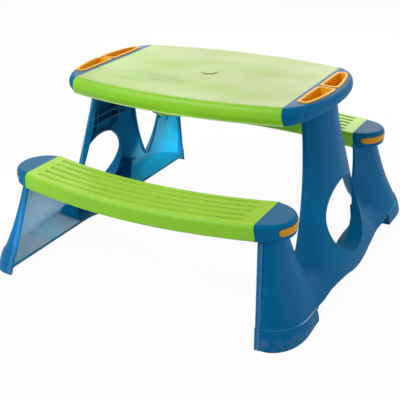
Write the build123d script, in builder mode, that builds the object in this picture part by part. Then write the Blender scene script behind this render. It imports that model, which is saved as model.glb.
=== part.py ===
"""Children's picnic table: two moulded end frames, a top, two seats and lift-out trays.

X runs from end frame to end frame, Y from seat to seat, Z up; the origin lies on the
floor under the middle of the table. Sizes are millimetres.
"""
import os
from math import asin, cos, degrees, hypot, radians, sin, sqrt, tan

from build123d import *

os.makedirs("parts", exist_ok=True)

# Heights above the floor
TABLE_HEIGHT = 435.0
TABLE_EDGE = 40.0  # height of the table's edge
SEAT_HEIGHT = 250.0
SEAT_EDGE = 38.0  # height of a seat's edge

# The end frames lean towards each other; the open rim of each lies in one plane
RIM_REACH = 322.5  # from the middle to the rim at floor level
LEAN = radians(7.15)

# Plan of the top and the seats
TABLE_END_HALF = 186.0  # half the width of the top where it meets an end frame
TABLE_BOW = 33.0  # extra half width in the middle
SEAT_INNER = 226.0  # from the middle plane to a seat's inner edge, at its ends
SEAT_WIDTH = 130.0
SEAT_BOW = 42.0  # outward curve of a seat in its middle

# Heads and seat caps of the end frames carry on the outline of the top and the seats
HEAD_REACH = 71.0
CAP_REACH = 63.0
CAP_TURN = radians(6.0)  # how much further than the seat a cap turns inward

# Edge of the top and heads: widest a little below half height, drawn in above and below
BELT_RISE = 16.0  # from the lower edge up to the widest line
UPPER_TUCK = 2.0
LOWER_TUCK = 6.0
HEAD_TUCK = 21.0  # under the outer end of a head
TABLE_ROUND = 16.0  # rounding of the upper edge
BELT_ROUND = 12.0  # rounding at the widest line

# Walls, roundings and clearances
FRAME_WALL = 4.0
SHELL_WALL = 4.0  # top and seats
RIB = 3.0
SEAT_ROUND = 10.0  # upper edges of seats and caps
LOWER_ROUND = 4.0  # lower edges of seats and caps
SEAM = 0.3  # gap between top or seat and the rim of an end frame
FIT = 0.4  # clearance round trays, keys, tenons and plug

# Outline of an end frame's legs and column: half widths and heights
FOOT_TOE = 413.0
FOOT_HEEL = 260.0
NECK_OUTER = 346.0
NECK_INNER = 226.0
COLUMN_TOP = 84.0
NOTCH_HALF = 181.0
NOTCH_HEIGHT = 104.0
NOTCH_ROUND = 10.0
ARCH_HEIGHT = 17.0  # underside of the sole between the feet
ARCH_START = 125.0  # the belly between the arches ends here
BELLY_HEIGHT = 3.0
HEEL_ROUND = 22.0
HEEL_SETBACK = 40.0  # the heels stand back from the rim

# Depths of an end frame from its rim: at the floor, half way to the notch, at the notch,
# under the seat, half way up the column and at the table
COLUMN_DEPTHS = (85.0, 77.0, 69.0, 58.0, 49.0, 46.0)
VALLEY_DEPTHS = (75.0, 54.0, 10.0, 4.0, 4.0, 4.0)
LEG_DEPTHS = (77.0, 68.0, 52.0, 33.0, 14.0, 14.0)
CREST_SHARES = (0.42, 0.48, 0.55, 0.58, 0.58, 0.58)  # a leg's crest between its edges
SIDE_DEPTH = 12.0  # depth of the flat side walls of the legs and the column

# Boots on the feet
BOOT_HEIGHT = 44.0  # at the toe
BOOT_STEP = 3.0
BOOT_TILT = radians(6.0)

# Oval hole through each end frame
HOLE_HALF = 97.0
HOLE_TOP = 222.0
HOLE_BOTTOM = 40.0
HOLE_WIDEST = 136.0
COLLAR_START = 37.0  # depth from the rim at which the hole's collar begins

# Ribs inside the end frames
CROSS_RIBS = (98.0, 268.0, 290.0)  # heights of the level ribs across the column
COLUMN_RIB = 50.0  # from the middle to the upright ribs over the hole
SOLE_RIB = 130.0  # from the middle to the upright ribs beside the hole
RIB_SETBACK = 20.0  # from the rim
GUSSET_FOOT = 150.0  # lower end of the gussets that carry a seat

# Shelf on each column that carries the top
SHELF_TOP = 404.0
SHELF_THICK = 5.0
SHELF_HALF = 72.0
SHELF_REACH = 46.0

# Trays
TRAY_STRIP = 10.0  # strip of the head between the trays and the top
TRAY_SPLIT = 4.0  # half the gap between two trays
TRAY_MARGIN = 15.0  # from the head's outer edge
TRAY_END = 128.0
TRAY_CORNER = 8.0
TRAY_FOOT_CORNER = 4.0
TRAY_RIM = 4.0  # how far the rim lies on the head
TRAY_RIM_THICK = 2.5
TRAY_DEPTH = 29.0
TRAY_WALL = 2.2
TRAY_DRAFT = 4.0  # how far the walls draw in towards the bottom

# Tenons on the seats and the keys that lock them
TENON_HALF = 40.0
TENON_LENGTH = 34.0
KEY_WIDTH = 100.0
KEY_HEIGHT = 16.0
KEY_MIDDLE = 231.0
KEY_CORNER = 6.0
KEY_PROUD = 1.4
KEY_DEPTH = 7.0
KEY_SHIFT = 8.0  # from the middle of the cap towards the table
TONGUE_WIDTH = 40.0
TONGUE_HEIGHT = 8.0
TONGUE_GRIP = 9.0  # how far a key's tongue runs into the tenon

# Grooves along the seats
GROOVES = 5
GROOVE_PITCH = 21.5
GROOVE_WIDTH = 8.0
GROOVE_DEPTH = 2.2
GROOVE_END = 34.0  # from the seam

# Parasol hole and its plug
PARASOL_BORE = 32.0
PLUG_FLANGE = 40.0
PLUG_FLANGE_THICK = 2.0
PLUG_LENGTH = 14.0
PLUG_WALL = 2.0

# Screws that hold the top on the shelves
SCREW_DIAMETER = 4.0
SCREW_HEAD = 9.0
SCREW_HEAD_THICK = 3.0
SCREW_LENGTH = 22.0
SCREW_SPACING = 90.0
THREAD_GAP = 0.05
BOSS_DIAMETER = 11.0

# Ribs under the top and the seats
RIB_HEIGHT = 20.0
TOP_RIB_PITCH = 110.0
SEAT_RIB_PITCH = 72.0

SEAT_BASE = SEAT_HEIGHT - SEAT_EDGE
TABLE_BASE = TABLE_HEIGHT - TABLE_EDGE
OVERRUN = 30.0  # how far cutting forms run past what they cut


def rim_x(height):
    """Distance from the middle to the rim of an end frame at a height."""
    return RIM_REACH - height * tan(LEAN)


def rim_plane(inset=0.0):
    """Plane of the right frame's rim: local x along Y, local y up the slope, normal outward."""
    return Plane(
        origin=(RIM_REACH - inset / cos(LEAN), 0, 0),
        x_dir=(0, 1, 0),
        z_dir=(cos(LEAN), 0, sin(LEAN)),
    )


def up_slope(height):
    """Distance up the rim plane that reaches a height."""
    return height / cos(LEAN)


def bow_radius(half_chord, bow):
    """Radius of an arc from its half chord and its rise."""
    return (half_chord**2 + bow**2) / (2 * bow)


RIM = rim_plane()
TABLE_SEAM = rim_x(TABLE_HEIGHT)
SEAT_SEAM = rim_x(SEAT_HEIGHT)
TABLE_RADIUS = bow_radius(TABLE_SEAM, TABLE_BOW)
TABLE_CENTRE = TABLE_END_HALF + TABLE_BOW - TABLE_RADIUS
TABLE_TURN = asin(TABLE_SEAM / TABLE_RADIUS)
SEAT_RADIUS = bow_radius(SEAT_SEAM, SEAT_BOW)
SEAT_CENTRE = SEAT_INNER + SEAT_BOW - SEAT_RADIUS
SEAT_TURN = asin(SEAT_SEAM / (SEAT_RADIUS + SEAT_WIDTH / 2)) + CAP_TURN
COLUMN_END = TABLE_BASE + 2 * FRAME_WALL  # the column runs on inside the head
COLUMN_RADIUS = bow_radius(up_slope(COLUMN_END - NOTCH_HEIGHT), NOTCH_HALF - COLUMN_TOP)


def bowed_y(x, centre, radius):
    """Y of a bowed edge at a distance from the middle."""
    return centre + sqrt(radius**2 - x**2)


CAP_INNER = bowed_y(SEAT_SEAM, SEAT_CENTRE, SEAT_RADIUS)
CAP_OUTER = bowed_y(SEAT_SEAM, SEAT_CENTRE, SEAT_RADIUS + SEAT_WIDTH)
CAP_HALF = (CAP_OUTER - CAP_INNER) / 2
CAP_MIDDLE = (CAP_OUTER + CAP_INNER) / 2


def leg_outer(height):
    """Distance from the middle plane to a leg's outer edge."""
    return FOOT_TOE - height * (FOOT_TOE - NECK_OUTER) / SEAT_BASE


def swell(share):
    """Height of a rounded flank, from 1 at its crest to 0 at its foot."""
    return (1 - share**2) ** 0.75


def slant(share):
    """Height of a flatter flank, from 1 at its crest to 0 at its foot."""
    return 1 - share**1.6


def bulge(share):
    """Height of a full, elliptical flank, from 1 at its crest to 0 at its foot."""
    return sqrt(1 - share**2)


def column_half(height):
    """Half width of the column at a height between the notches and the head."""
    below = up_slope(COLUMN_END - height)
    return COLUMN_TOP + COLUMN_RADIUS - sqrt(COLUMN_RADIUS**2 - below**2)


def section(column, column_depth, valley_depth, leg_inner, outer, leg_depth, crest_share):
    """Half of a level section of an end frame: distances from the middle and depths from the rim."""
    crest = leg_inner + crest_share * (outer - leg_inner)
    points = []
    column_foot = max(valley_depth, SIDE_DEPTH)
    for share in (0, 0.4, 0.75, 1):
        points.append((share * column, column_foot + (column_depth - column_foot) * swell(share)))
    for share in (1, 0.7, 0.35):
        across = crest - share * (crest - leg_inner)
        points.append((across, valley_depth + (leg_depth - valley_depth) * slant(share)))
    for share in (0, 0.5, 0.8, 0.95, 1):
        across = crest + share * (outer - crest)
        points.append((across, SIDE_DEPTH + (leg_depth - SIDE_DEPTH) * bulge(share)))
    return points


def grown(points, grow):
    """Points of a half section moved along its normals."""
    before = [(-points[1][0], points[1][1])] + points[:-1]
    after = points[1:] + [points[-1]]
    moved = []
    for last, here, following in zip(before, points, after):
        run = following[0] - last[0]
        rise = following[1] - last[1]
        length = hypot(run, rise)
        moved.append((here[0] - grow * rise / length, here[1] + grow * run / length))
    return moved


def crown(grow):
    """Block whose outer face is the swelling outer face of an end frame."""
    half_notch = NOTCH_HEIGHT / 2
    half_column = (SEAT_BASE + COLUMN_END) / 2
    heights = (-ARCH_HEIGHT, half_notch, NOTCH_HEIGHT, SEAT_BASE, half_column, COLUMN_END)
    low = NOTCH_HALF - NOTCH_ROUND
    columns = (low, low, low, column_half(SEAT_BASE), column_half(half_column), COLUMN_TOP)
    inners = (FOOT_HEEL, (FOOT_HEEL + NOTCH_HALF) / 2, NOTCH_HALF + NOTCH_ROUND) + 3 * (NECK_INNER,)
    outers = (leg_outer(-ARCH_HEIGHT), leg_outer(half_notch), leg_outer(NOTCH_HEIGHT)) + 3 * (NECK_OUTER,)
    half = FOOT_TOE + OVERRUN
    with BuildPart() as block:
        for height, column, depth, valley, inner, outer, leg, share in zip(
            heights, columns, COLUMN_DEPTHS, VALLEY_DEPTHS, inners, outers, LEG_DEPTHS, CREST_SHARES
        ):
            level = Plane(
                origin=RIM.from_local_coords((0, up_slope(height), 0)),
                x_dir=(0, -1, 0),
                z_dir=RIM.y_dir,
            )
            right = grown(section(column, depth, valley, inner, outer, leg, share), grow)
            left = [(-across, deep) for across, deep in reversed(right[1:])]
            with BuildSketch(level):
                with BuildLine():
                    face = Spline(*left, *right, tangents=((0, 1), (0, -1)))
                    Polyline(face @ 1, (half, 0), (half, -OVERRUN), (-half, -OVERRUN), (-half, 0), face @ 0)
                make_face()
        loft()
    return block.part


def frame_outline(grow, feet):
    """Back half of an end frame's outline in its rim plane, with or without its feet."""
    neck = up_slope(SEAT_BASE + 2 * FRAME_WALL)
    column_end = up_slope(COLUMN_END)
    notch = (NOTCH_HALF, up_slope(NOTCH_HEIGHT))
    belly = (0, BELLY_HEIGHT)
    middle = (ARCH_START / 2, (BELLY_HEIGHT + ARCH_HEIGHT) / 2)
    arch = (ARCH_START, ARCH_HEIGHT)
    heel_start = (FOOT_HEEL - HEEL_ROUND, ARCH_HEIGHT)
    heel = (FOOT_HEEL, ARCH_HEIGHT - HEEL_ROUND)
    with BuildSketch(RIM) as outline:
        with BuildLine():
            TangentArc(belly, middle, tangent=(1, 0))
            TangentArc(arch, middle, tangent=(-1, 0))
            if feet:
                Line(arch, heel_start)
                TangentArc(heel_start, heel, tangent=(1, 0))
                Polyline(heel, (FOOT_HEEL, -OVERRUN), (leg_outer(-OVERRUN), -OVERRUN), (NECK_OUTER, neck))
            else:
                Polyline(arch, (leg_outer(ARCH_HEIGHT), ARCH_HEIGHT), (NECK_OUTER, neck))
            Line((NECK_OUTER, neck), (NECK_INNER, neck))
            TangentArc((NECK_INNER, neck), notch, tangent=(0, -1))
            TangentArc((COLUMN_TOP, column_end), notch, tangent=(0, -1))
            Polyline((COLUMN_TOP, column_end), (0, column_end), belly)
        make_face()
        fillet(outline.vertices().sort_by_distance(notch)[0], NOTCH_ROUND)
        mirror(about=Plane.YZ)
        if grow:
            offset(amount=grow)
        split(bisect_by=Plane.YZ)
    return outline.sketch


def legs_form(grow, feet=True):
    """Back leg and half the column as a solid form, standing on the floor."""
    with BuildPart() as form:
        add(crown(grow))
        extrude(frame_outline(grow, feet), amount=2 * FOOT_TOE, mode=Mode.INTERSECT)
        split(bisect_by=Plane.XY)
    return form.part


def boot_form(grow):
    """Boot of the back leg as a solid form."""
    reach = FOOT_HEEL - BOOT_STEP
    top = Plane(
        origin=(0, FOOT_TOE, BOOT_HEIGHT),
        x_dir=(1, 0, 0),
        z_dir=(0, -sin(BOOT_TILT), cos(BOOT_TILT)),
    )
    with BuildPart() as boot:
        add(legs_form(grow))
        split(bisect_by=top, keep=Keep.BOTTOM)
        split(bisect_by=Plane.XZ.offset(-reach), keep=Keep.BOTTOM)
    return boot.part


def cap_plan(inset, height):
    """Half oval of a seat cap in plan, turned with the end of the seat."""
    along = Vector(cos(SEAT_TURN), -sin(SEAT_TURN))
    across = Vector(sin(SEAT_TURN), cos(SEAT_TURN))
    seam_middle = Vector(SEAT_SEAM, CAP_MIDDLE)
    half = CAP_HALF * cos(SEAT_TURN) - inset
    with BuildSketch(Plane.XY.offset(height)) as plan:
        with BuildLine():
            nose = EllipticalCenterArc(
                seam_middle,
                CAP_REACH - inset,
                half,
                start_angle=-90,
                arc_size=180,
                rotation=-degrees(SEAT_TURN),
            )
            back = along * -OVERRUN
            Polyline(nose @ 1, seam_middle + across * half + back, seam_middle - across * half + back, nose @ 0)
        make_face()
    return plan.sketch


def head_plan(inset, end_inset, height):
    """Half oval of a table head in plan, meeting the top at the slope of its bowed side."""
    share = HEAD_REACH * tan(TABLE_TURN) / TABLE_END_HALF
    shift = HEAD_REACH * share / (1 - 2 * share)
    half = TABLE_END_HALF / sqrt(1 - (shift / (HEAD_REACH + shift)) ** 2) - inset
    centre = TABLE_SEAM - shift
    with BuildSketch(Plane.XY.offset(height)) as plan:
        with BuildLine():
            nose = EllipticalCenterArc(
                (centre, 0), HEAD_REACH + shift - end_inset, half, start_angle=-90, arc_size=180
            )
            Polyline(nose @ 1, (centre - OVERRUN, half), (centre - OVERRUN, -half), nose @ 0)
        make_face()
    return plan.sketch


def long_edges(part, height):
    """Curved edges of a part at a height, without the straight ones at its seams."""
    level = part.edges().filter_by_position(Axis.Z, height - 0.01, height + 0.01)
    return level.filter_by(GeomType.LINE, reverse=True)


def edge_levels(inset, floor):
    """Side insets, end insets and heights of the three lines of the table's edge."""
    return (
        (LOWER_TUCK + inset, HEAD_TUCK + inset, TABLE_BASE + floor),
        (inset, inset, TABLE_BASE + BELT_RISE),
        (UPPER_TUCK + inset, UPPER_TUCK + inset, TABLE_HEIGHT - inset),
    )


def head_form(inset):
    """Back half of the right frame's table head as a solid form."""
    with BuildPart() as head:
        loft([head_plan(side, end, height) for side, end, height in edge_levels(inset, inset)], ruled=True)
        fillet(long_edges(head, TABLE_BASE + BELT_RISE), BELT_ROUND)
        fillet(long_edges(head, TABLE_HEIGHT - inset), TABLE_ROUND - inset)
        split(bisect_by=RIM)
        split(bisect_by=Plane.XZ, keep=Keep.BOTTOM)
    return head.part


def cap_form(inset):
    """Back seat cap of the right frame as a solid form."""
    with BuildPart() as cap:
        extrude(cap_plan(inset, SEAT_BASE + inset), amount=SEAT_EDGE - 2 * inset)
        fillet(long_edges(cap, SEAT_HEIGHT - inset), SEAT_ROUND - inset)
        if not inset:
            fillet(long_edges(cap, SEAT_BASE), LOWER_ROUND)
        split(bisect_by=RIM)
    return cap.part


def hole_plan(grow, depth):
    """Oval hole in an end frame, grown by a wall, at a depth from the rim."""
    widest = up_slope(HOLE_WIDEST)
    upper = up_slope(HOLE_TOP) - widest + grow
    lower = widest - up_slope(HOLE_BOTTOM) + grow
    with BuildSketch(RIM.offset(depth)) as plan:
        with BuildLine():
            EllipticalCenterArc((0, widest), HOLE_HALF + grow, upper, start_angle=0, arc_size=180)
            EllipticalCenterArc((0, widest), HOLE_HALF + grow, lower, start_angle=180, arc_size=180)
        make_face()
    return plan.sketch


def upright(across, foot, foot_setback, head, head_setback):
    """Upright rib inside an end frame, from its foot to its head, set back from the rim."""
    far = RIM_REACH + FOOT_TOE
    with BuildPart() as rib:
        with BuildSketch(Plane.XZ.offset(-across)):
            with BuildLine():
                Polyline(
                    (rim_x(foot) + foot_setback, foot),
                    (far, foot),
                    (far, head),
                    (rim_x(head) + head_setback, head),
                    close=True,
                )
            make_face()
        extrude(amount=RIB / 2, both=True)
    return rib.part


def tray_plan(inset, corner, height):
    """Outline of the back right tray, drawn in from the outer edge of its rim."""
    inner = TABLE_SEAM + TRAY_STRIP + inset
    split_line = TRAY_SPLIT + inset
    with BuildSketch(Plane.XY.offset(height)) as plan:
        add(head_plan(TRAY_MARGIN + inset, TRAY_MARGIN + inset, 0))
        with Locations((inner, split_line)):
            Rectangle(
                HEAD_REACH,
                TRAY_END - inset - split_line,
                align=(Align.MIN, Align.MIN),
                mode=Mode.INTERSECT,
            )
        fillet(plan.vertices(), corner)
    return plan.sketch


def key_plan(grow, x):
    """Face of a seat key, seen along X."""
    with BuildSketch(Plane.YZ.offset(x)) as plan:
        with Locations((KEY_AT, KEY_MIDDLE)):
            RectangleRounded(KEY_WIDTH + 2 * grow, KEY_HEIGHT + 2 * grow, KEY_CORNER + grow)
    return plan.sketch


def tongue_plan(grow, x):
    """Section of a seat key's tongue, seen along X."""
    with BuildSketch(Plane.YZ.offset(x)) as plan:
        with Locations((CAP_MIDDLE, KEY_MIDDLE)):
            Rectangle(TONGUE_WIDTH + 2 * grow, TONGUE_HEIGHT + 2 * grow)
    return plan.sketch


def table_plan(inset, height):
    """Bowed outline of the top, run past its ends."""
    end = TABLE_SEAM + OVERRUN
    radius = TABLE_RADIUS - inset
    corner = bowed_y(end, TABLE_CENTRE, radius)
    with BuildSketch(Plane.XY.offset(height)) as plan:
        with BuildLine():
            ThreePointArc((-end, corner), (0, TABLE_CENTRE + radius), (end, corner))
            Line((end, corner), (end, -corner))
            ThreePointArc((end, -corner), (0, -TABLE_CENTRE - radius), (-end, -corner))
            Line((-end, -corner), (-end, corner))
        make_face()
    return plan.sketch


def between_rims(form, gap):
    """A long form cut off at both ends, parallel to the rims and a gap away from them."""
    with BuildPart() as kept:
        add(form)
        split(bisect_by=rim_plane(gap), keep=Keep.BOTTOM)
        split(bisect_by=Plane.YZ)
        mirror(about=Plane.YZ)
    return kept.part


def table_form(inset, floor):
    """Top as a solid form, run past its ends."""
    with BuildPart() as form:
        loft([table_plan(side, height) for side, _, height in edge_levels(inset, floor)], ruled=True)
        fillet(long_edges(form, TABLE_BASE + BELT_RISE), BELT_ROUND)
        fillet(long_edges(form, TABLE_HEIGHT - inset), TABLE_ROUND - inset)
    return form.part


def seat_plan(inset, height):
    """Bowed outline of the back seat, run past its ends."""
    end = SEAT_SEAM + OVERRUN
    inner = SEAT_RADIUS + inset
    outer = SEAT_RADIUS + SEAT_WIDTH - inset
    inner_end = bowed_y(end, SEAT_CENTRE, inner)
    outer_end = bowed_y(end, SEAT_CENTRE, outer)
    with BuildSketch(Plane.XY.offset(height)) as plan:
        with BuildLine():
            ThreePointArc((-end, inner_end), (0, SEAT_CENTRE + inner), (end, inner_end))
            Line((end, inner_end), (end, outer_end))
            ThreePointArc((end, outer_end), (0, SEAT_CENTRE + outer), (-end, outer_end))
            Line((-end, outer_end), (-end, inner_end))
        make_face()
    return plan.sketch


def seat_form(inset, floor):
    """Back seat as a solid form, run past its ends."""
    with BuildPart() as form:
        extrude(seat_plan(inset, SEAT_BASE + floor), amount=SEAT_EDGE - inset - floor)
        fillet(long_edges(form, SEAT_HEIGHT - inset), SEAT_ROUND - inset)
        if not inset:
            fillet(long_edges(form, SEAT_BASE), LOWER_ROUND)
    return form.part


TENON_END = SEAT_SEAM + TENON_LENGTH
TENON_BASE = SEAT_BASE + FRAME_WALL
TENON_TOP = SEAT_HEIGHT - FRAME_WALL - FIT
KEY_AT = CAP_MIDDLE - KEY_SHIFT
KEY_SLOT = SEAT_SEAM + CAP_REACH / 3  # the slots for the keys start here
SHELF_SEAM = rim_x(SHELF_TOP)
SCREW_X = SHELF_SEAM - SHELF_REACH / 2
GUSSETS = (CAP_MIDDLE - TENON_HALF + SHELL_WALL / 2, CAP_MIDDLE + TENON_HALF - SHELL_WALL / 2)

with BuildPart() as frame_hollow:
    add(legs_form(-FRAME_WALL, feet=False))
    add(boot_form(BOOT_STEP - FRAME_WALL))
    add(cap_form(FRAME_WALL))
    add(head_form(FRAME_WALL))
    # The collar of the hole, the ribs, the gussets and the shelf are left standing
    extrude(hole_plan(FRAME_WALL, COLLAR_START), amount=FOOT_TOE, mode=Mode.SUBTRACT)
    for height in CROSS_RIBS:
        with Locations((rim_x(height) + RIB_SETBACK, 0, height)):
            Box(
                FOOT_TOE,
                2 * NOTCH_HALF,
                RIB,
                align=(Align.MIN, Align.CENTER, Align.CENTER),
                mode=Mode.SUBTRACT,
            )
    add(upright(COLUMN_RIB, HOLE_TOP, RIB_SETBACK, COLUMN_END, RIB_SETBACK), mode=Mode.SUBTRACT)
    add(upright(SOLE_RIB, 0, RIB_SETBACK, CROSS_RIBS[0], RIB_SETBACK), mode=Mode.SUBTRACT)
    for gusset in GUSSETS:
        add(upright(gusset, GUSSET_FOOT, LEG_DEPTHS[3], TENON_BASE, FIT), mode=Mode.SUBTRACT)
    with Locations((SHELF_SEAM, 0, SHELF_TOP)):
        Box(
            2 * HEAD_REACH,
            2 * COLUMN_TOP + 2 * OVERRUN,
            SHELF_THICK,
            align=(Align.CENTER, Align.CENTER, Align.MAX),
            mode=Mode.SUBTRACT,
        )

with BuildPart() as end_frame_right:
    add(legs_form(0))
    add(boot_form(BOOT_STEP))
    add(cap_form(0))
    add(head_form(0))
    add(frame_hollow.part, mode=Mode.SUBTRACT)
    with BuildSketch(RIM):
        with Locations((FOOT_HEEL, ARCH_HEIGHT)):
            Rectangle(2 * OVERRUN, 2 * OVERRUN, align=(Align.CENTER, Align.MAX))
    extrude(amount=HEEL_SETBACK, mode=Mode.SUBTRACT)
    extrude(hole_plan(0, 0), amount=FOOT_TOE, mode=Mode.SUBTRACT)
    with Locations((SHELF_SEAM - SHELF_REACH, 0, SHELF_TOP)):
        Box(
            SHELF_REACH + 2 * FRAME_WALL,
            2 * SHELF_HALF,
            SHELF_THICK,
            align=(Align.MIN, Align.CENTER, Align.MAX),
        )
    with Locations((SCREW_X, 0, SHELF_TOP)):
        with GridLocations(0, SCREW_SPACING, 1, 2):
            Cylinder(SCREW_DIAMETER / 2 + FIT, 4 * SHELF_THICK, mode=Mode.SUBTRACT)
    extrude(tray_plan(TRAY_RIM, TRAY_CORNER, TABLE_HEIGHT), amount=-2 * FRAME_WALL, mode=Mode.SUBTRACT)
    extrude(key_plan(FIT, KEY_SLOT), amount=FOOT_TOE, mode=Mode.SUBTRACT)
    split(bisect_by=Plane.XZ, keep=Keep.BOTTOM)
    mirror(about=Plane.XZ)

with BuildPart() as end_frame_left:
    mirror(end_frame_right.part, about=Plane.YZ)

with BuildPart() as table_hollow:
    add(between_rims(table_form(SHELL_WALL, 0), SEAM + SHELL_WALL))
    # Ribs, screw bosses and the ring of the parasol hole are left standing
    with Locations((0, 0, TABLE_HEIGHT - SHELL_WALL)):
        with GridLocations(TOP_RIB_PITCH, 0, 4, 1):
            Box(
                RIB,
                2 * FOOT_TOE,
                2 * RIB_HEIGHT,
                mode=Mode.SUBTRACT,
            )
        with GridLocations(0, TOP_RIB_PITCH, 1, 4):
            Box(
                2 * FOOT_TOE,
                RIB,
                2 * RIB_HEIGHT,
                mode=Mode.SUBTRACT,
            )
        Cylinder(PLUG_FLANGE / 2, 2 * RIB_HEIGHT, mode=Mode.SUBTRACT)
    with Locations((0, 0, SHELF_TOP)):
        with GridLocations(2 * SCREW_X, SCREW_SPACING, 2, 2):
            Cylinder(
                BOSS_DIAMETER / 2,
                TABLE_EDGE,
                align=(Align.CENTER, Align.CENTER, Align.MIN),
                mode=Mode.SUBTRACT,
            )

with BuildPart() as table_top:
    add(between_rims(table_form(0, 0), SEAM))
    add(table_hollow.part, mode=Mode.SUBTRACT)
    with Locations((0, 0, SHELF_TOP + FIT)):
        Box(
            2 * TABLE_SEAM + 2 * OVERRUN,
            2 * SHELF_HALF + 2 * FIT,
            TABLE_EDGE,
            align=(Align.CENTER, Align.CENTER, Align.MAX),
            mode=Mode.SUBTRACT,
        )
    with Locations((0, 0, SHELF_TOP)):
        with GridLocations(2 * SCREW_X, SCREW_SPACING, 2, 2):
            Cylinder(
                SCREW_DIAMETER / 2 + THREAD_GAP,
                SCREW_LENGTH,
                align=(Align.CENTER, Align.CENTER, Align.MIN),
                mode=Mode.SUBTRACT,
            )
    with Locations((0, 0, TABLE_HEIGHT)):
        Cylinder(PARASOL_BORE / 2, 2 * TABLE_EDGE, mode=Mode.SUBTRACT)

with BuildPart() as seat_hollow:
    add(between_rims(seat_form(SHELL_WALL, 0), SEAM + SHELL_WALL))
    # Cross ribs are left standing
    with Locations((0, 0, SEAT_HEIGHT - SHELL_WALL)):
        with GridLocations(SEAT_RIB_PITCH, 0, 8, 1):
            Box(RIB, 2 * FOOT_TOE, 2 * RIB_HEIGHT, mode=Mode.SUBTRACT)

with BuildPart() as tenon:
    # A channel open below and closed at its tip, where a key's tongue enters
    with Locations((TENON_END, CAP_MIDDLE, TENON_TOP)):
        Box(
            2 * TENON_LENGTH,
            2 * TENON_HALF,
            TENON_TOP - TENON_BASE,
            align=(Align.MAX, Align.CENTER, Align.MAX),
        )
    with Locations((TENON_END - SHELL_WALL, CAP_MIDDLE, TENON_TOP - SHELL_WALL)):
        Box(
            2 * TENON_LENGTH,
            2 * TENON_HALF - 2 * SHELL_WALL,
            SEAT_EDGE,
            align=(Align.MAX, Align.CENTER, Align.MAX),
            mode=Mode.SUBTRACT,
        )
    extrude(tongue_plan(FIT, SEAT_SEAM), amount=2 * TENON_LENGTH, mode=Mode.SUBTRACT)
    split(bisect_by=rim_plane(SEAM + SHELL_WALL / 2))

with BuildPart() as seat_back:
    add(between_rims(seat_form(0, 0), SEAM))
    add(seat_hollow.part, mode=Mode.SUBTRACT)
    with BuildSketch(Plane.XY.offset(SEAT_HEIGHT)):
        for groove in range(GROOVES):
            radius = SEAT_RADIUS + SEAT_WIDTH / 2 + (groove - (GROOVES - 1) / 2) * GROOVE_PITCH
            turn = degrees(asin((SEAT_SEAM - GROOVE_END) / radius))
            SlotArc(CenterArc((0, SEAT_CENTRE), radius, 90 - turn, 2 * turn, mode=Mode.PRIVATE), GROOVE_WIDTH)
    extrude(amount=-GROOVE_DEPTH, mode=Mode.SUBTRACT)
    add(tenon.part)
    mirror(tenon.part, about=Plane.YZ)

with BuildPart() as seat_front:
    mirror(seat_back.part, about=Plane.XZ)

with BuildPart() as seat_key_right_back:
    extrude(key_plan(0, KEY_SLOT + FIT), amount=FOOT_TOE)
    extrude(cap_plan(-KEY_PROUD, SEAT_BASE), amount=SEAT_EDGE, mode=Mode.INTERSECT)
    extrude(cap_plan(KEY_DEPTH, SEAT_BASE), amount=SEAT_EDGE, mode=Mode.SUBTRACT)
    extrude(
        tongue_plan(0, TENON_END - TONGUE_GRIP),
        amount=CAP_REACH - KEY_DEPTH / 2 - TENON_LENGTH + TONGUE_GRIP,
    )

with BuildPart() as seat_key_right_front:
    mirror(seat_key_right_back.part, about=Plane.XZ)

with BuildPart() as seat_key_left_back:
    mirror(seat_key_right_back.part, about=Plane.YZ)

with BuildPart() as seat_key_left_front:
    mirror(seat_key_right_front.part, about=Plane.YZ)

with BuildPart() as tray_right_back:
    body = TRAY_RIM + FIT
    cup = body + TRAY_WALL
    bottom = TABLE_HEIGHT - TRAY_DEPTH
    extrude(tray_plan(0, TRAY_CORNER, TABLE_HEIGHT), amount=TRAY_RIM_THICK)
    loft([tray_plan(body, TRAY_CORNER, TABLE_HEIGHT), tray_plan(body + TRAY_DRAFT, TRAY_FOOT_CORNER, bottom)])
    loft(
        [
            tray_plan(cup, TRAY_CORNER, TABLE_HEIGHT + TRAY_RIM_THICK),
            tray_plan(cup + TRAY_DRAFT, TRAY_FOOT_CORNER, bottom + TRAY_WALL),
        ],
        mode=Mode.SUBTRACT,
    )

with BuildPart() as tray_right_front:
    mirror(tray_right_back.part, about=Plane.XZ)

with BuildPart() as tray_left_back:
    mirror(tray_right_back.part, about=Plane.YZ)

with BuildPart() as tray_left_front:
    mirror(tray_right_front.part, about=Plane.YZ)

with BuildPart() as parasol_plug:
    with Locations((0, 0, TABLE_HEIGHT)):
        Cylinder(
            PLUG_FLANGE / 2,
            PLUG_FLANGE_THICK,
            align=(Align.CENTER, Align.CENTER, Align.MIN),
        )
        Cylinder(
            PARASOL_BORE / 2 - FIT,
            PLUG_LENGTH,
            align=(Align.CENTER, Align.CENTER, Align.MAX),
        )
        Cylinder(
            PARASOL_BORE / 2 - FIT - PLUG_WALL,
            PLUG_LENGTH,
            align=(Align.CENTER, Align.CENTER, Align.MAX),
            mode=Mode.SUBTRACT,
        )
    fillet(parasol_plug.edges().group_by(Axis.Z)[-1], PLUG_FLANGE_THICK / 2)

with BuildPart() as top_screws:
    with Locations((0, 0, SHELF_TOP - SHELF_THICK)):
        with GridLocations(2 * SCREW_X, SCREW_SPACING, 2, 2):
            Cylinder(
                SCREW_HEAD / 2,
                SCREW_HEAD_THICK,
                align=(Align.CENTER, Align.CENTER, Align.MAX),
            )
            Cylinder(
                SCREW_DIAMETER / 2,
                SCREW_LENGTH,
                align=(Align.CENTER, Align.CENTER, Align.MIN),
            )

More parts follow.
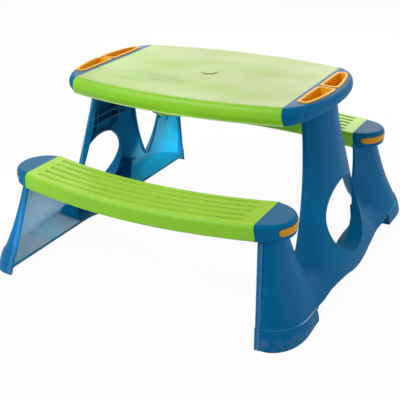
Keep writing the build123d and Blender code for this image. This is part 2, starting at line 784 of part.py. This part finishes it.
for piece, label in (
    (end_frame_left, "end_frame_left"),
    (end_frame_right, "end_frame_right"),
    (table_top, "table_top"),
    (seat_front, "seat_front"),
    (seat_back, "seat_back"),
    (tray_left_front, "tray_left_front"),
    (tray_left_back, "tray_left_back"),
    (tray_right_front, "tray_right_front"),
    (tray_right_back, "tray_right_back"),
    (seat_key_left_front, "seat_key_left_front"),
    (seat_key_left_back, "seat_key_left_back"),
    (seat_key_right_front, "seat_key_right_front"),
    (seat_key_right_back, "seat_key_right_back"),
    (parasol_plug, "parasol_plug"),
    (top_screws, "top_screws"),
):
    piece.part.label = label
    export_step(piece.part, f"parts/{label}.step")
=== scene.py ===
from math import cos, pi, radians, sin, tan

import bmesh
import bpy
from mathutils import Matrix, Vector


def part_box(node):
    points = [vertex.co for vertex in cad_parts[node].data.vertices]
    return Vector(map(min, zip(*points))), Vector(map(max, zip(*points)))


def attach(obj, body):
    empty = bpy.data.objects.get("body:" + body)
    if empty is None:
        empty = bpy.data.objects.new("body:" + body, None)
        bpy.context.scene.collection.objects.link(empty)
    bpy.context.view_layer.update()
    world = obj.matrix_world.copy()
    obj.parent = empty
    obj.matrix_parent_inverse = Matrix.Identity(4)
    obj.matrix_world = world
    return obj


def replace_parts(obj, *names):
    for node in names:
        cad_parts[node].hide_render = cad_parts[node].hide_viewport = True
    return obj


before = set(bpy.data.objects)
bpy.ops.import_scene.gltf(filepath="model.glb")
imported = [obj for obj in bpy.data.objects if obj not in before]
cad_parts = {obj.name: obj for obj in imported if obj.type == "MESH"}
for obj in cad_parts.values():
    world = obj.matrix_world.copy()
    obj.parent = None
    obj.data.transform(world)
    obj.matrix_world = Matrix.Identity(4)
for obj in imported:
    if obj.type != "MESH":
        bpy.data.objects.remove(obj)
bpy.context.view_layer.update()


# End frames. Each is one hollow injection moulding in blue polypropylene: table head, column,
# two seat legs with boots and the caps that close the seats. The tool leaves a fine matt grain
# outside, and the feet pick up a little dust. The insides of the legs are painted paler and bright
# blue, as painted light, with a painted highlight on the boot ledges and a painted sheen on the
# upward faces of the head and caps.
FRAME_BLUE = (0.000, 0.152, 0.350, 1)
FRAME_DEEP = (0.000, 0.130, 0.315, 1)
FRAME_WORN_AND_HIGHLIGHT = (0.040, 0.210, 0.450, 1)
FRAME_TOP_SHEEN = (0.130, 0.260, 0.390, 1)
FRAME_INNER_LIGHT = (0.250, 0.380, 0.480, 1)
SOLE_INNER_LIGHT = (0.480, 0.670, 0.880, 1)
FRAME_GLOW = (0.030, 0.560, 0.900, 1)  # light that comes through a wall
FLOOR_DUST = (0.330, 0.330, 0.310, 1)
FRAME_GLOSS = 0.40
FRAME_GRAIN = 1400.0
FRAME_ROUNDING = 0.0015
GRAIN_STRENGTH = 0.16
GRAIN_DEPTH = 0.0004
RIM_REACH = 0.3225  # from the middle of the table to the rim of a frame, at the floor
RIM_LEAN = radians(7.15)

# Where a tone comes or goes: depths behind the rim, heights, and places along the frame, which
# are squared where front and back are alike
INSIDE_DEPTH = (0.002, 0.006)
CREASE_START = (0.007, 0.010)
CREASE_END = (0.014, 0.017)
BOOT_STEP_START = (0.030, 0.035)
BOOT_STEP_END = (0.070, 0.075)
CAP_LEVEL = (0.20, 0.22)
SOLE_LEVEL = (0.034, 0.038)
DUST_LEVEL = (0.0, 0.035)
LEG_SQUARES = (0.13**2, 0.15**2)
TOE_SQUARES = (0.29**2, 0.33**2)
BACK_PLACE = (-0.05, 0.05)

# Ribs beside and above the hole, and the collar round it
RIB_THICK = 0.003
RIB_LEVEL = 0.098
NOSE_END = 0.100
NOSE_LEFT = 0.05
NOSE_SPREAD = 0.17
UPRIGHT_PLACE = 0.050
UPRIGHT_FOOT = 0.222
UPRIGHT_EASE = 0.025
COLLAR_DEPTH = 0.037


class Value:
    """A socket in a finish; arithmetic on it adds Math nodes."""

    def __init__(self, finish, socket):
        self.finish = finish
        self.socket = socket

    def math(self, operation, first, second):
        return self.finish.node("ShaderNodeMath", {"operation": operation}, {0: first, 1: second})

    def __add__(self, other):
        return self.math("ADD", self, other)

    def __radd__(self, other):
        return self.math("ADD", other, self)

    def __sub__(self, other):
        return self.math("SUBTRACT", self, other)

    def __rsub__(self, other):
        return self.math("SUBTRACT", other, self)

    def __mul__(self, other):
        return self.math("MULTIPLY", self, other)

    def __rmul__(self, other):
        return self.math("MULTIPLY", other, self)

    def __pow__(self, other):
        return self.math("POWER", self, other)


class Finish:
    """A material under construction: nodes are added by type, settings and socket values."""

    def __init__(self, name):
        self.material = bpy.data.materials.new(name)
        self.material.use_nodes = True
        self.tree = self.material.node_tree
        self.shader = self.tree.nodes["Principled BSDF"]

    def node(self, kind, settings=None, values=None, output=0):
        """Adds a node, sets it up, fills its sockets and returns one of its outputs."""
        added = self.tree.nodes.new(kind)
        for name, setting in (settings or {}).items():
            setattr(added, name, setting)
        for name, value in (values or {}).items():
            self.feed(added.inputs[name], value)
        return Value(self, added.outputs[output])

    def feed(self, socket, value):
        """Links a value to a socket, or sets the socket to a number or colour."""
        if isinstance(value, Value):
            self.tree.links.new(value.socket, socket)
        else:
            socket.default_value = value

    def set(self, **values):
        """Fills the shader's own sockets; names are written with underscores."""
        for name, value in values.items():
            self.feed(self.shader.inputs[name.replace("_", " ")], value)

    def place(self):
        """Position in the table's frame, which every piece shares."""
        return self.node("ShaderNodeTexCoord", output="Object")

    def facing(self):
        """Direction in which the surface faces."""
        return self.node("ShaderNodeNewGeometry", output="Normal")

    def parts(self, vector):
        """The three parts of a vector."""
        return [self.node("ShaderNodeSeparateXYZ", {}, {0: vector}, output) for output in range(3)]

    def noise(self, scale, detail=2.0, stretch=(1, 1, 1)):
        """Cloudy noise, with its three directions scaled."""
        place = self.node("ShaderNodeMapping", {}, {"Vector": self.place(), "Scale": stretch})
        values = {"Vector": place, "Scale": scale, "Detail": detail}
        return self.node("ShaderNodeTexNoise", {}, values)

    def rise(self, value, low, high, start=0.0, end=1.0):
        """Eases from 0 to 1 as a value goes through a range."""
        values = {0: value, 1: low, 2: high, 3: start, 4: end}
        return self.node("ShaderNodeMapRange", {"interpolation_type": "SMOOTHSTEP"}, values)

    def fall(self, value, low, high):
        """Eases from 1 to 0 as a value goes through a range."""
        return self.rise(value, low, high, 1.0, 0.0)

    def blend(self, share, first, second):
        """Mixes two colours."""
        values = {0: share, 6: first, 7: second}
        return self.node("ShaderNodeMix", {"data_type": "RGBA"}, values, output=2)

    def dress(self, *names):
        """Gives the finish to CAD nodes."""
        for name in names:
            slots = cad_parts[name].data.materials
            slots.clear()
            slots.append(self.material)


class Moulding(Finish):
    """Moulded plastic: cloudy tone, matt tool grain, soft and slightly polished edges, scuffs."""

    def __init__(self, name, colour, deep, worn, gloss, grain, rounding):
        super().__init__(name)
        self.rounding = rounding
        cloud = self.rise(self.noise(5.0, 3.0), 0.3, 0.7)
        self.soft = self.node("ShaderNodeBevel", {"samples": 6}, {"Radius": rounding})
        faces = {0: self.soft, 1: self.facing()}
        turned = self.node("ShaderNodeVectorMath", {"operation": "DOT_PRODUCT"}, faces, output=1)
        patchy = self.rise(self.noise(38.0, 4.0), 0.42, 0.62)
        rubbed = self.rise(1 - turned, 0.02, 0.25) * patchy
        fine = self.noise(grain, 2.0)
        scratch = self.rise(self.noise(90.0, 3.0, (1.0, 0.06, 0.3)), 0.66, 0.74)
        scuffs = scratch * self.rise(self.noise(7.0), 0.5, 0.65)
        self.tone = self.blend(cloud, deep, colour)
        self.paint(0.25 * rubbed + 0.08 * scuffs, worn)
        self.rough = gloss + 0.10 * cloud + 0.06 * fine - 0.08 * rubbed
        self.height = fine + 0.4 * patchy - 0.8 * scuffs

    def paint(self, share, colour):
        """Lays a share of a colour over the tone."""
        self.tone = self.blend(share, self.tone, colour)

    def sharpen(self, share):
        """Leaves edges crisp where the share is 1."""
        self.feed(self.soft.socket.node.inputs["Radius"], self.rounding * (1 - share))

    def dress(self, *names):
        """Closes the finish and gives it to CAD nodes."""
        relief = {
            "Strength": GRAIN_STRENGTH,
            "Distance": GRAIN_DEPTH,
            "Height": self.height,
            "Normal": self.soft,
        }
        grained = self.node("ShaderNodeBump", {}, relief)
        self.set(Base_Color=self.tone, Roughness=self.rough, Normal=grained)
        super().dress(*names)


frame_plastic = Moulding(
    "frame_plastic", FRAME_BLUE, FRAME_DEEP, FRAME_WORN_AND_HIGHLIGHT, FRAME_GLOSS, FRAME_GRAIN, FRAME_ROUNDING
)
x, y, z = frame_plastic.parts(frame_plastic.place())
facing_x, facing_y, facing_up = frame_plastic.parts(frame_plastic.facing())
depth = cos(RIM_LEAN) * ((x * x) ** 0.5 + tan(RIM_LEAN) * z - RIM_REACH)
crease = frame_plastic.rise(depth, *CREASE_START) * frame_plastic.fall(depth, *CREASE_END)
frame_plastic.sharpen(crease)

# Painted highlight: the upward ledge on each boot step is painted lighter, where light catches it.
boot_step = frame_plastic.rise(z, *BOOT_STEP_START) * frame_plastic.fall(z, *BOOT_STEP_END)
boot_ledge_highlight = frame_plastic.rise(facing_up, 0.6, 0.9) * boot_step
boot_ledge_highlight = boot_ledge_highlight * frame_plastic.rise(facing_x * x, -0.02, 0.0)
frame_plastic.paint(0.8 * boot_ledge_highlight, FRAME_WORN_AND_HIGHLIGHT)
# Painted sheen: upward faces of the head and caps are painted paler, as glare would show on them.
topside_sheen = frame_plastic.rise(facing_up, 0.90, 0.99) * frame_plastic.rise(z, *CAP_LEVEL)
frame_plastic.paint(0.45 * topside_sheen, FRAME_TOP_SHEEN)

# Painted light: inward faces in the legs are painted paler, and bright blue towards the back, as
# light reflected in them and coming through the wall.
behind_rim = frame_plastic.rise(depth, *INSIDE_DEPTH)
in_leg = behind_rim * frame_plastic.rise(y * y, *LEG_SQUARES)
at_back = frame_plastic.rise(y, *BACK_PLACE)
inward = frame_plastic.fall(facing_x * x, -0.03, -0.005)
inner_wall_light = frame_plastic.blend(0.7 * at_back, FRAME_INNER_LIGHT, FRAME_GLOW)
frame_plastic.paint(0.9 * in_leg * inward, inner_wall_light)
# Painted light: the soles inside the legs are painted paler at the front and bright blue at the
# back.
sole = frame_plastic.rise(facing_up, 0.6, 0.8) * frame_plastic.fall(z, *SOLE_LEVEL)
inner_sole_light = frame_plastic.blend(at_back, SOLE_INNER_LIGHT, FRAME_GLOW)
frame_plastic.paint(0.9 * in_leg * sole, inner_sole_light)
# Painted light: the insides of the toe walls are painted bright blue, as light coming through the
# wall.
toe = frame_plastic.fall(facing_y * y, -0.20, -0.06) * frame_plastic.rise(y * y, *TOE_SQUARES)
frame_plastic.paint(0.9 * toe * behind_rim, FRAME_GLOW)

dusty = frame_plastic.fall(z, *DUST_LEVEL)
dusty = dusty * frame_plastic.rise(frame_plastic.noise(55.0, 5.0), 0.35, 0.7)
frame_plastic.paint(0.18 * dusty, FLOOR_DUST)
frame_plastic.set(Specular_IOR_Level=0.06, Subsurface_Weight=0.3)
frame_plastic.set(Subsurface_Scale=0.012, Subsurface_Radius=(0.1, 0.7, 1.0))
frame_plastic.dress("end_frame_left", "end_frame_right")


def carried(name, data, body):
    """Turns mesh data into a piece that rides on a body."""
    piece = bpy.data.objects.new(name, data)
    bpy.context.scene.collection.objects.link(piece)
    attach(piece, body)
    return piece


# The ribs beside and above the hole slope back to its collar, so that they don't show in it
for name in ("left", "right"):
    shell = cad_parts["end_frame_" + name].data.copy()
    for vertex in shell.vertices:
        reach, across, height = abs(vertex.co.x), abs(vertex.co.y), vertex.co.z
        collar = RIM_REACH + COLLAR_DEPTH / cos(RIM_LEAN) - height * tan(RIM_LEAN)
        on_level = abs(height - RIB_LEVEL) < RIB_THICK and across < NOSE_END
        on_upright = abs(across - UPRIGHT_PLACE) < RIB_THICK
        if on_level and RIM_REACH < reach < collar:
            vertex.co.x *= (collar - NOSE_LEFT * (collar - reach)) / reach
            vertex.co.y *= 1 + NOSE_SPREAD * (collar - reach) / across
        if on_upright and abs(height - UPRIGHT_FOOT) < RIB_THICK and reach < collar:
            vertex.co.x *= 1 - UPRIGHT_EASE * tan(RIM_LEAN) / reach
            vertex.co.z += UPRIGHT_EASE
    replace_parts(carried("frame_shell_" + name, shell, "table"), "end_frame_" + name)


# Soles. A plate moulded across each foot a little above the floor, square to the rim, from the
# rim to the outer wall. It closes the leg below, so that only the toe stands open.
SOLE_RISE = 0.017
SOLE_THICK = 0.004
SOLE_OUTLINE = (  # place along the frame and depth behind the rim
    (0.2570, 0.0000), (0.4075, 0.0000), (0.4070, 0.0110), (0.4030, 0.0320), (0.3910, 0.0490),
    (0.3740, 0.0620), (0.3520, 0.0710), (0.3260, 0.0760), (0.3000, 0.0765), (0.2570, 0.0750),
)


def band(mesh, lower, upper):
    """Faces between two closed rows of points."""
    for at in range(len(lower)):
        mesh.faces.new((lower[at - 1], lower[at], upper[at], upper[at - 1]))


def added(name, mesh, body, slot):
    """Turns a finished mesh into a piece that rides on a body."""
    bmesh.ops.recalc_face_normals(mesh, faces=mesh.faces)
    data = bpy.data.meshes.new(name)
    mesh.to_mesh(data)
    mesh.free()
    return carried(name, data, body)


plates = bmesh.new()
for end in (-1, 1):
    for way in (-1, 1):
        rows = []
        for level in (SOLE_RISE, SOLE_RISE + SOLE_THICK):
            row = []
            for across, deep in SOLE_OUTLINE:
                out = RIM_REACH + deep * cos(RIM_LEAN) - level * sin(RIM_LEAN)
                height = deep * sin(RIM_LEAN) + level * cos(RIM_LEAN)
                row.append(plates.verts.new((end * out, way * across, height)))
            rows.append(row)
            plates.faces.new(row)
        band(plates, rows[0], rows[1])
soles = added("soles", plates, "table", "frame_blue")
soles.data.materials.append(frame_plastic.material)


# Top. A bowed, ribbed shell in bright green polypropylene, screwed down from below. Its upper
# face is painted paler in streaks and towards the back right, partly as sun fading and partly as
# painted sheen, with a deeper green patch painted where less sheen falls, and two faint moulding
# gate marks beside the plug. A painted highlight runs along the lip at its lower edge.
TOP_GREEN = (0.280, 0.670, 0.010, 1)
TOP_DEEP = (0.250, 0.620, 0.007, 1)
TOP_WORN = (0.480, 0.760, 0.180, 1)
TOP_PALE = (0.345, 0.430, 0.100, 1)
TOP_LESS_SHEEN = (0.210, 0.360, 0.030, 1)
TOP_LIP_HIGHLIGHT = (0.660, 0.860, 0.360, 1)
TOP_GLOSS = 0.36
GREEN_GRAIN = 1100.0
GREEN_ROUNDING = 0.002
LIP_LEVEL = (0.398, 0.399)
PALE_SLANT = 0.9
PALE_PLACE = (-0.28, 0.10)
PATCH_PLACE = (-0.12, -0.10)
PATCH_STRETCH = 0.30
PATCH_WIDTH = 0.05
GATE_REACH = 0.107
GATE_RADIUS = 0.0035

top_plastic = Moulding(
    "top_plastic", TOP_GREEN, TOP_DEEP, TOP_WORN, TOP_GLOSS, GREEN_GRAIN, GREEN_ROUNDING
)
x, y, z = top_plastic.parts(top_plastic.place())
_, _, facing_up = top_plastic.parts(top_plastic.facing())
upper = top_plastic.rise(facing_up, 0.96, 0.995)
# Partly sun fading, partly painted sheen: the upper face is painted paler, in streaks and more
# towards the back right.
pale_streaks = top_plastic.rise(top_plastic.noise(4.5, 3.0, (0.6, 1.6, 1.0)), 0.32, 0.62)
pale_slope = top_plastic.rise(x + PALE_SLANT * y, *PALE_PLACE)
from_gate = (((x * x) ** 0.5 - GATE_REACH) ** 2 + y * y) ** 0.5
gate = top_plastic.fall(from_gate, 0.6 * GATE_RADIUS, GATE_RADIUS) * upper
top_plastic.paint(upper * (0.35 + 0.30 * pale_streaks + 0.35 * pale_slope) - 0.3 * gate, TOP_PALE)
# Painted light: a deeper green patch at the front left is painted where less sheen falls on the
# top.
from_patch = (PATCH_STRETCH * (x - PATCH_PLACE[0])) ** 2 + (y - PATCH_PLACE[1]) ** 2
less_sheen_patch = top_plastic.fall(from_patch, 0.0, PATCH_WIDTH**2)
less_sheen_patch = less_sheen_patch * top_plastic.rise(top_plastic.noise(9.0, 3.0, (0.5, 1.5, 1.0)), 0.25, 0.60)
top_plastic.paint(0.9 * upper * less_sheen_patch, TOP_LESS_SHEEN)
# Painted highlight: the lip at the lower edge is painted paler, where light from above catches it.
lip_highlight = top_plastic.fall(z, *LIP_LEVEL) * top_plastic.rise(facing_up, -0.8, -0.5)
top_plastic.paint(0.9 * lip_highlight, TOP_LIP_HIGHLIGHT)
top_plastic.rough = top_plastic.rough + 0.10 * upper * (1 - pale_streaks)
top_plastic.height = top_plastic.height - 1.5 * gate
top_plastic.dress("table_top")


# Seats. The same green shells with five long grooves that drain the rain and a tenon at each
# end that slides into the caps. The upward faces are painted lighter, as painted light from above,
# and the groove floors darker, partly dirt and partly painted shade.
SEAT_TOP_LIGHT = (0.520, 0.840, 0.064, 1)
SEAT_DIRT_AND_SHADE = (0.150, 0.270, 0.020, 1)
SEAT_GLOSS = 0.38
GROOVE_LEVEL = (0.248, 0.249)

seat_plastic = Moulding(
    "seat_plastic", TOP_GREEN, TOP_DEEP, TOP_WORN, SEAT_GLOSS, GREEN_GRAIN, GREEN_ROUNDING
)
_, _, z = seat_plastic.parts(seat_plastic.place())
_, _, facing_up = seat_plastic.parts(seat_plastic.facing())
# Painted light: upward faces of the seats are painted a brighter green, as light falling from
# above.
upward = seat_plastic.rise(facing_up, 0.80, 0.98)
seat_plastic.paint(upward * (1 - 0.4 * seat_plastic.noise(6.0)), SEAT_TOP_LIGHT)
# Partly dirt, partly painted shade: the groove floors are painted darker in patches.
groove = seat_plastic.rise(facing_up, 0.90, 0.97) * seat_plastic.fall(z, *GROOVE_LEVEL)
groove_dirt_and_shade = groove * seat_plastic.rise(seat_plastic.noise(30.0, 4.0), 0.35, 0.70)
seat_plastic.paint(0.35 * groove_dirt_and_shade, SEAT_DIRT_AND_SHADE)
seat_plastic.dress("seat_front", "seat_back")


# Trays. Thin cups in orange polypropylene, two side by side in the head of each frame. The flat
# rim lies on the head, and they are lifted out to be rinsed.
TRAY_ORANGE = (0.930, 0.470, 0.004, 1)
TRAY_DEEP = (0.890, 0.420, 0.003, 1)
TRAY_WORN = (0.950, 0.580, 0.050, 1)
ORANGE_GLOSS = 0.42
ORANGE_GRAIN = 1500.0
ORANGE_SHINE = 0.2
TRAY_ROUNDING = 0.0006

tray_plastic = Moulding(
    "tray_plastic", TRAY_ORANGE, TRAY_DEEP, TRAY_WORN, ORANGE_GLOSS, ORANGE_GRAIN, TRAY_ROUNDING
)
tray_plastic.set(Specular_IOR_Level=ORANGE_SHINE)
tray_plastic.dress("tray_left_front", "tray_left_back", "tray_right_front", "tray_right_back")


# Seat keys. Solid wedges in a slightly deeper orange, pushed into the caps from outside. Their
# tongues go through the tenons and lock the seats.
KEY_ORANGE = (0.720, 0.310, 0.006, 1)
KEY_DEEP = (0.660, 0.280, 0.005, 1)
KEY_WORN = (0.820, 0.420, 0.030, 1)
KEY_ROUNDING = 0.0012

key_plastic = Moulding(
    "key_plastic", KEY_ORANGE, KEY_DEEP, KEY_WORN, ORANGE_GLOSS, ORANGE_GRAIN, KEY_ROUNDING
)
key_plastic.set(Specular_IOR_Level=ORANGE_SHINE)
key_plastic.dress("seat_key_left_front", "seat_key_left_back")
key_plastic.dress("seat_key_right_front", "seat_key_right_back")


# Parasol plug. A hollow plug in the same pale green as the top, which stands partly for sun fading
# and partly for painted sheen, with a thin round flange, pushed by hand into the hole in the
# middle.
PLUG_ROUNDING = 0.0015

plug_plastic = Moulding(
    "plug_plastic", TOP_PALE, TOP_PALE, TOP_WORN, SEAT_GLOSS, GREEN_GRAIN, PLUG_ROUNDING
)
plug_plastic.dress("parasol_plug")


# Screws. Four zinc plated pan heads with a cross recess and a coarse thread, driven up through
# the shelves into the bosses of the top.
ZINC_DARK = (0.45, 0.46, 0.48, 1)
ZINC_LIGHT = (0.66, 0.66, 0.66, 1)
HEAD_RADIUS = 0.0045
HEAD_DROP = 0.003
CROSS_REACH = 0.0021
CROSS_HALF = 0.0005
CROSS_DEPTH = 0.0016
CROSS_TAPER = 0.6
THREAD_CREST = 0.00195
THREAD_ROOT = 0.0015
THREAD_PITCH = 0.0018
TIP_SHARE = 0.15
TIP_TURNS = 1.5
AROUND = 24
HEAD_PROFILE = (  # radius, and share of the drop
    (THREAD_ROOT, 0), (HEAD_RADIUS, 0), (HEAD_RADIUS, -0.5), (0.9 * HEAD_RADIUS, -0.8),
    (0.6 * HEAD_RADIUS, -1),
)
CROSS_ARM = ((CROSS_REACH, -CROSS_HALF), (CROSS_REACH, CROSS_HALF), (CROSS_HALF, CROSS_HALF))


def spoke(centre, radius, step, height):
    """A point about an upright axis, a number of steps round."""
    angle = 2 * pi * step / AROUND
    return centre + Vector((radius * cos(angle), radius * sin(angle), height))


def loop_edges(mesh, row):
    """Edges of a closed row of points."""
    pairs = [(row[at - 1], row[at]) for at in range(len(row))]
    return [mesh.edges.get(pair) or mesh.edges.new(pair) for pair in pairs]


def screw(mesh, centre, length):
    """One screw hanging from the underside of a shelf."""
    rows = []
    for radius, share in HEAD_PROFILE:
        points = [spoke(centre, radius, step, share * HEAD_DROP) for step in range(AROUND)]
        rows.append([mesh.verts.new(point) for point in points])
    for upper, lower in zip(rows, rows[1:]):
        band(mesh, lower, upper)
    crosses = []
    for scale, height in ((1.0, -HEAD_DROP), (CROSS_TAPER, CROSS_DEPTH - HEAD_DROP)):
        corners = []
        for quarter in range(4):
            turn = Matrix.Rotation(quarter * pi / 2, 3, "Z")
            for along, aside in CROSS_ARM:
                corner = turn @ Vector((scale * along, scale * aside, height))
                corners.append(mesh.verts.new(centre + corner))
        crosses.append(corners)
    band(mesh, crosses[1], crosses[0])
    mesh.faces.new(crosses[1])
    bmesh.ops.triangle_fill(mesh, edges=loop_edges(mesh, rows[-1]) + loop_edges(mesh, crosses[0]))
    steps = int(length / THREAD_PITCH * AROUND)
    crests, roots = [], []
    for step in range(steps):
        taper = min(1.0, TIP_SHARE + (steps - step) / (TIP_TURNS * AROUND))
        for row, radius, share in ((crests, THREAD_CREST, 0), (roots, THREAD_ROOT, 0.5)):
            height = THREAD_PITCH * (step / AROUND + share)
            row.append(mesh.verts.new(spoke(centre, taper * radius, step, height)))
    for step in range(steps - 1):
        mesh.faces.new((crests[step], crests[step + 1], roots[step + 1], roots[step]))
        above = step + AROUND
        if above + 1 < steps:
            mesh.faces.new((roots[step], roots[step + 1], crests[above + 1], crests[above]))


low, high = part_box("top_screws")
shelf = low[2] + HEAD_DROP
metal = bmesh.new()
for screw_x in (low[0] + HEAD_RADIUS, high[0] - HEAD_RADIUS):
    for screw_y in (low[1] + HEAD_RADIUS, high[1] - HEAD_RADIUS):
        screw(metal, Vector((screw_x, screw_y, shelf)), high[2] - shelf - THREAD_PITCH)
screws = added("screws", metal, "table", "screw_steel")
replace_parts(screws, "top_screws")

steel = Finish("screw_steel")
steel.set(
    Base_Color=steel.blend(steel.noise(300.0, 3.0), ZINC_DARK, ZINC_LIGHT),
    Metallic=1.0,
    Roughness=0.28 + 0.15 * steel.noise(500.0, 2.0),
)
screws.data.materials.append(steel.material)


# Studio. A pale floor that runs white for the camera and keeps a soft shadow, a white room, a
# broad lamp in front, a low one at the right, a long one behind that shines along the top, and
# two small gridded ones that light the insides of the left legs.
FLOOR_HALF = 6.0
FLOOR_GLOW = 0.95
FLOOR_DARK = (0.80, 0.80, 0.80, 1)
FLOOR_LIGHT = (0.84, 0.84, 0.84, 1)
FLOOR_ROUGHNESS = 0.9
WHITE = (1, 1, 1, 1)

quarters = ((-1, -1), (1, -1), (1, 1), (-1, 1))
corners = [(FLOOR_HALF * across, FLOOR_HALF * along, 0) for across, along in quarters]
floor_mesh = bpy.data.meshes.new("floor")
floor_mesh.from_pydata(corners, [], [(0, 1, 2, 3)])
floor = bpy.data.objects.new("floor", floor_mesh)
bpy.context.scene.collection.objects.link(floor)
paper = Finish("floor_paper")
paper.set(Base_Color=paper.blend(paper.noise(3.0), FLOOR_DARK, FLOOR_LIGHT))
paper.set(Roughness=FLOOR_ROUGHNESS)


def seen(finish):
    """1 for rays that show a surface as it is: to the camera, in gloss and through glass."""
    rays = ("Is Camera Ray", "Is Glossy Ray", "Is Transmission Ray")
    camera, gloss, glass = [finish.node("ShaderNodeLightPath", output=ray) for ray in rays]
    return finish.rise(camera + gloss + glass, 0.0, 1.0)


white = paper.node("ShaderNodeEmission", {}, {"Color": WHITE, "Strength": 1.0})
lit = Value(paper, paper.shader.outputs[0])
shown = paper.node("ShaderNodeMixShader", {}, {0: FLOOR_GLOW * seen(paper), 1: lit, 2: white})
paper.feed(paper.tree.nodes["Material Output"].inputs["Surface"], shown)
floor_mesh.materials.append(paper.material)

ROOM_FILL = 0.29
world = bpy.data.worlds.new("white_room")
world.use_nodes = True
bpy.context.scene.world = world


class Room(Finish):
    """The world's node tree, built like a finish."""

    def __init__(self, world):
        self.tree = world.node_tree
        self.shader = world.node_tree.nodes["Background"]


room = Room(world)
room.set(Color=WHITE, Strength=ROOM_FILL + (1 - ROOM_FILL) * seen(room))

BEAM = radians(6)
WARM_WHITE = (1, 0.99, 0.93)


def lamp(name, place, aim, width, height, power, colour=(1, 1, 1), spread=pi):
    """A soft rectangular lamp that points at a spot, with a grid where its beam is narrow."""
    light = bpy.data.lights.new(name, "AREA")
    light.shape = "RECTANGLE"
    light.size = width
    light.size_y = height
    light.energy = power
    light.color = colour
    light.spread = spread
    stand = bpy.data.objects.new(name, light)
    stand.location = place
    stand.rotation_euler = (Vector(aim) - Vector(place)).to_track_quat("-Z", "Y").to_euler()
    bpy.context.scene.collection.objects.link(stand)


lamp("front", place=(-1.1, -1.9, 2.7), aim=(0, 0, 0.3), width=2.0, height=2.0, power=64)
lamp("right", place=(2.4, 0.5, 0.7), aim=(0.3, 0.1, 0.2), width=1.4, height=0.8, power=12)
lamp(
    "inside_front", place=(1.15, -2.10, 0.60), aim=(-0.345, -0.29, 0.07),
    width=0.1, height=0.1, power=0.080, spread=BEAM,
)
lamp(
    "inside_back", place=(0.86, -1.60, 0.94), aim=(-0.364, 0.395, 0.035),
    width=0.05, height=0.05, power=0.062, spread=BEAM,
)
lamp(
    "behind", place=(-0.5, 2.4, 1.55), aim=(0, 0, 0.435),
    width=3.0, height=1.2, power=40, colour=WARM_WHITE,
)

CAMERA_PLACE = (0.8785, -1.6097, 0.9488)
CAMERA_YAW = 0.51485
CAMERA_PITCH = 0.43554
CAMERA_ROLL = -0.01851
CAMERA_LENS = 70.28
CAMERA_SENSOR = 36

lens = bpy.data.cameras.new("camera")
lens.sensor_width = CAMERA_SENSOR
lens.lens = CAMERA_LENS
camera = bpy.data.objects.new("camera", lens)
turn = Matrix.Rotation(CAMERA_YAW, 4, "Z") @ Matrix.Rotation(pi / 2 - CAMERA_PITCH, 4, "X")
turn = turn @ Matrix.Rotation(CAMERA_ROLL, 4, "Z")
camera.matrix_world = Matrix.Translation(CAMERA_PLACE) @ turn
bpy.context.scene.collection.objects.link(camera)
bpy.context.scene.camera = camera
bpy.context.scene.view_settings.view_transform = "Standard"
